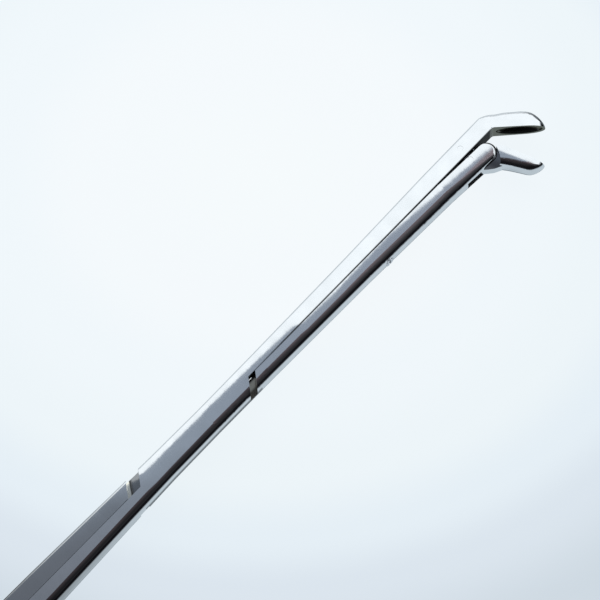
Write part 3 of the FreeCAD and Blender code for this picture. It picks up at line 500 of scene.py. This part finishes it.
def jaw_crown(g):
    """Normal of the movable jaw, leaning more and more towards the jaw's back, and forwards at its tip."""
    x, y = g.split(g.node("ShaderNodeTexCoord").outputs["Object"])[:2]
    depth = g.math("SUBTRACT", movable_reach, g.along(x, y, movable_direction))
    share = g.math("DIVIDE", depth, JAW_CROWN_RADIUS)
    share = g.math("MINIMUM", g.math("MAXIMUM", share, 0.0), JAW_CROWN_MOST)
    level = g.split(g.node("ShaderNodeNewGeometry").outputs["Normal"])[2]
    share = g.times(share, g.spread(level, *JAW_LEVEL))
    run = Vector((movable_direction.y, -movable_direction.x))
    from_root = g.math("SUBTRACT", g.along(x, y, run), JAW_CORNER.xy.dot(run))
    tip = g.spread(from_root, *JAW_TIP_RUN, 0.0, JAW_TIP_LEAN)
    lean = g.node("ShaderNodeCombineXYZ")
    for axis in (0, 1):
        aside = g.times(share, -movable_direction[axis])
        g.put(lean.inputs[axis], g.math("ADD", aside, g.times(tip, run[axis])))
    return leaning(g, lean.outputs[0])


def facing(g, normal, direction, least=FACE_LEAST):
    """1 where a face looks along a direction, 0 elsewhere."""
    dot = g.node("ShaderNodeVectorMath", operation="DOT_PRODUCT")
    g.put(dot.inputs[0], normal)
    dot.inputs[1].default_value = direction
    return g.spread(dot.outputs["Value"], least + FACE_SOFT[0], least + FACE_SOFT[1])


def within(g, value, low, high):
    """1 inside a range in metres, 0 outside, with soft ends."""
    rise = g.spread(value, low - MASK_SOFT, low + MASK_SOFT)
    return g.times(rise, g.spread(value, high - MASK_SOFT, high + MASK_SOFT, 1.0, 0.0))


def shaft_shades(g, colour):
    """Paints shade where light never reaches: the seam, the notch floors and the jaw's inner face, and more;
    also a painted highlight on the rear notch floor.
    """
    coordinates = g.node("ShaderNodeTexCoord").outputs
    normal = coordinates["Normal"]
    x, y, z = g.split(coordinates["Object"])
    looks = g.split(normal)
    back, from_seam = from_corner(g, x, y)
    up_face = facing(g, normal, UP)

    # painted shade along the seam, on up-facing faces next to it
    near = g.spread(g.math("ABSOLUTE", from_seam), *SEAM_EDGE, 1.0, 0.0)
    faded = g.spread(back, *SEAM_FADE, SEAM_STRENGTH, 0.0)
    colour = g.mix(g.times(near, faded, g.spread(back, *SEAM_START), up_face), colour, PAINTED_SHADE_DARK)
    # painted shade on the side wall of the seam
    wall = g.times(facing(g, normal, OUTER_SIDE), within(g, from_seam, -WALL_HALF_WIDTH, WALL_HALF_WIDTH))
    colour = g.mix(g.times(wall, g.spread(back, *WALL_START)), colour, PAINTED_SHADE_DARK)
    # painted shade on the fixed jaw's inner face
    jaw_face = g.times(facing(g, normal, JAW_INNER, JAW_FACE_LEAST), g.spread(back, *JAW_FACE_FADE))
    colour = g.mix(jaw_face, colour, PAINTED_SHADE_OLIVE)

    # painted shade on the notch floors, in different tones for the front and rear notch
    floor = g.times(up_face, g.spread(z, *NOTCH_FLOOR_TOP), g.spread(back, *NOTCH_END))
    outer = g.times(g.spread(from_seam, *NOTCH_OUTER), g.spread(back, *FRONT_NOTCH))
    floor_shade = g.mix(outer, PAINTED_SHADE_DARK, FRONT_NOTCH_SHADE)
    floor_shade = g.mix(g.spread(back, *REAR_NOTCH), floor_shade, REAR_NOTCH_SHADE)
    colour = g.mix(g.times(floor, NOTCH_STRENGTH), colour, floor_shade)
    # a painted shadow line, then a painted highlight strip, at the rear end of the rear notch floor
    slant = g.math("ADD", back, g.times(from_seam, NOTCH_SLANT))
    shadow = g.times(floor, g.spread(slant, *NOTCH_SHADOW), NOTCH_SHADOW_STRENGTH)
    colour = g.mix(shadow, colour, PAINTED_SHADE_DARK)
    colour = g.mix(g.times(floor, g.spread(slant, *NOTCH_HIGHLIGHT)), colour, PAINTED_HIGHLIGHT_TONE)
    # painted shade on the rearward-facing steps of the notches
    step = facing(g, normal, REARWARD)
    colour = g.mix(g.times(step, within(g, back, *FRONT_STEP)), colour, PAINTED_SHADE_OLIVE)
    colour = g.mix(g.times(step, within(g, back, *REAR_STEP)), colour, REAR_STEP_SHADE)

    # painted shade on the lower side of the crossing
    under = g.times(within(g, back, *CROSSING), g.spread(z, *CROSSING_BELOW))
    under = g.times(under, g.spread(from_seam, *CROSSING_OUTER), CROSSING_STRENGTH)
    colour = g.mix(under, colour, PAINTED_SHADE_DARK)
    # painted shade on the rim of the nose
    rim = g.times(g.spread(looks[0], *RIM_LOOKS), within(g, back, *RIM_REACH), g.spread(from_seam, *RIM_OUTER))
    colour = g.mix(rim, colour, RIM_SHADE)
    # painted shade on the bars behind the crossing: rear edge, outer side, and a line on the upper face beside
    # the seam
    rear_edge = g.times(g.spread(back, *REAR_EDGE_START), g.spread(looks[1], *REAR_EDGE_LOOKS))
    colour = g.mix(g.times(rear_edge, REAR_EDGE_STRENGTH), colour, PAINTED_SHADE_DARK)
    rear_outer = g.times(g.spread(back, *REAR_OUTER_START), g.spread(looks[1], *REAR_OUTER_LOOKS))
    colour = g.mix(g.times(rear_outer, REAR_OUTER_STRENGTH), colour, PAINTED_SHADE_DARK)
    rear_upper = g.times(g.spread(back, *REAR_UPPER_START), g.spread(from_seam, *REAR_UPPER_SIDE))
    return g.mix(g.times(rear_upper, REAR_UPPER_STRENGTH), colour, PAINTED_SHADE_DARK)


def jaw_shades(g, colour):
    """Paints shade on the movable jaw's inner face and its tail plate, and paints the jaw dark behind the tail
    plate.
    """
    coordinates = g.node("ShaderNodeTexCoord").outputs
    normal = coordinates["Normal"]
    x, y, z = g.split(coordinates["Object"])
    # painted shade on the tail plate
    tail = g.times(facing(g, normal, UP), within(g, z, *TAIL_HEIGHTS))
    colour = g.mix(tail, colour, TAIL_SHADE)
    # painted shade on the jaw's inner face
    inner = facing(g, normal, tuple(movable_direction), JAW_FACE_LEAST)
    colour = g.mix(inner, colour, PAINTED_SHADE_OLIVE)
    # painted shade on the jaw behind the tail plate
    return g.mix(g.spread(from_corner(g, x, y)[0], *TAIL_END), colour, PAINTED_SHADE_DARK)


def steel(name, roughness, marks, mottle, tint=WHITE, crown=None, shades=None):
    """Polished steel from the shared finish."""
    material, g = new_material(name)
    finish = g.node("ShaderNodeGroup", node_tree=polish)
    finish.inputs["Marks"].default_value = marks
    finish.inputs["Mottle"].default_value = mottle
    finish.inputs["Roughness"].default_value = roughness
    colour = g.mix(1.0, finish.outputs["Colour"], tint, "MULTIPLY")
    rough = finish.outputs["Roughness"]
    if shades:
        colour = shades(g, colour)
        parts = g.node("ShaderNodeSeparateColor")
        g.put(parts.inputs[0], colour)
        rough = g.math("MAXIMUM", rough, g.spread(parts.outputs[1], *SHADED_RANGE, SHADED_ROUGHNESS, 0.0))
    bump = g.node("ShaderNodeBump")
    bump.inputs["Strength"].default_value = 1.0
    bump.inputs["Distance"].default_value = 1.0
    g.put(bump.inputs["Height"], finish.outputs["Height"])
    if crown:
        g.put(bump.inputs["Normal"], crown(g))
    shader = g.node("ShaderNodeBsdfPrincipled")
    g.put(shader.inputs["Base Color"], colour)
    shader.inputs["Metallic"].default_value = 1.0
    g.put(shader.inputs["Roughness"], rough)
    g.put(shader.inputs["Normal"], bump.outputs[0])
    g.put(g.node("ShaderNodeOutputMaterial").inputs[0], shader.outputs[0])
    return material


def give(names, material):
    """Puts a material on CAD nodes."""
    for name in names:
        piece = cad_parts[name]
        for slot in piece.material_slots:
            slot.material = material
        if not piece.material_slots:
            piece.data.materials.append(material)


right, up = add_camera()
add_world()
add_floor(right, up)
add_overhead()

movable_direction, movable_reach = inner_plane(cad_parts["movable_jaw"], MOVABLE_LOOKS)
polish = polish_group()
give(["fixed_shaft", "sliding_shaft", "jaw_pivot_pin", "jaw_link_pin"],
     steel("polished_shaft", roughness=0.05, marks=1.0, mottle=1.0, crown=shaft_crown, shades=shaft_shades))
give(["movable_jaw"],
     steel("polished_jaw", roughness=0.08, marks=0.6, mottle=1.0, crown=jaw_crown, shades=jaw_shades))
give(["front_handle", "rear_handle"], steel("polished_handle", roughness=0.16, marks=0.4, mottle=1.0))
give(["drive_pin", "tang_rivet_front", "tang_rivet_rear"],
     steel("polished_pin", roughness=0.16, marks=0.3, mottle=1.0, tint=(0.95, 0.95, 0.96, 1.0)))
give(["guide_screw", "guide_shoe", "lap_screw", "handle_pivot_screw"],
     steel("screw_steel", roughness=0.12, marks=0.3, mottle=1.0, tint=(0.85, 0.85, 0.87, 1.0)))

bpy.context.scene.view_settings.view_transform = "Standard"
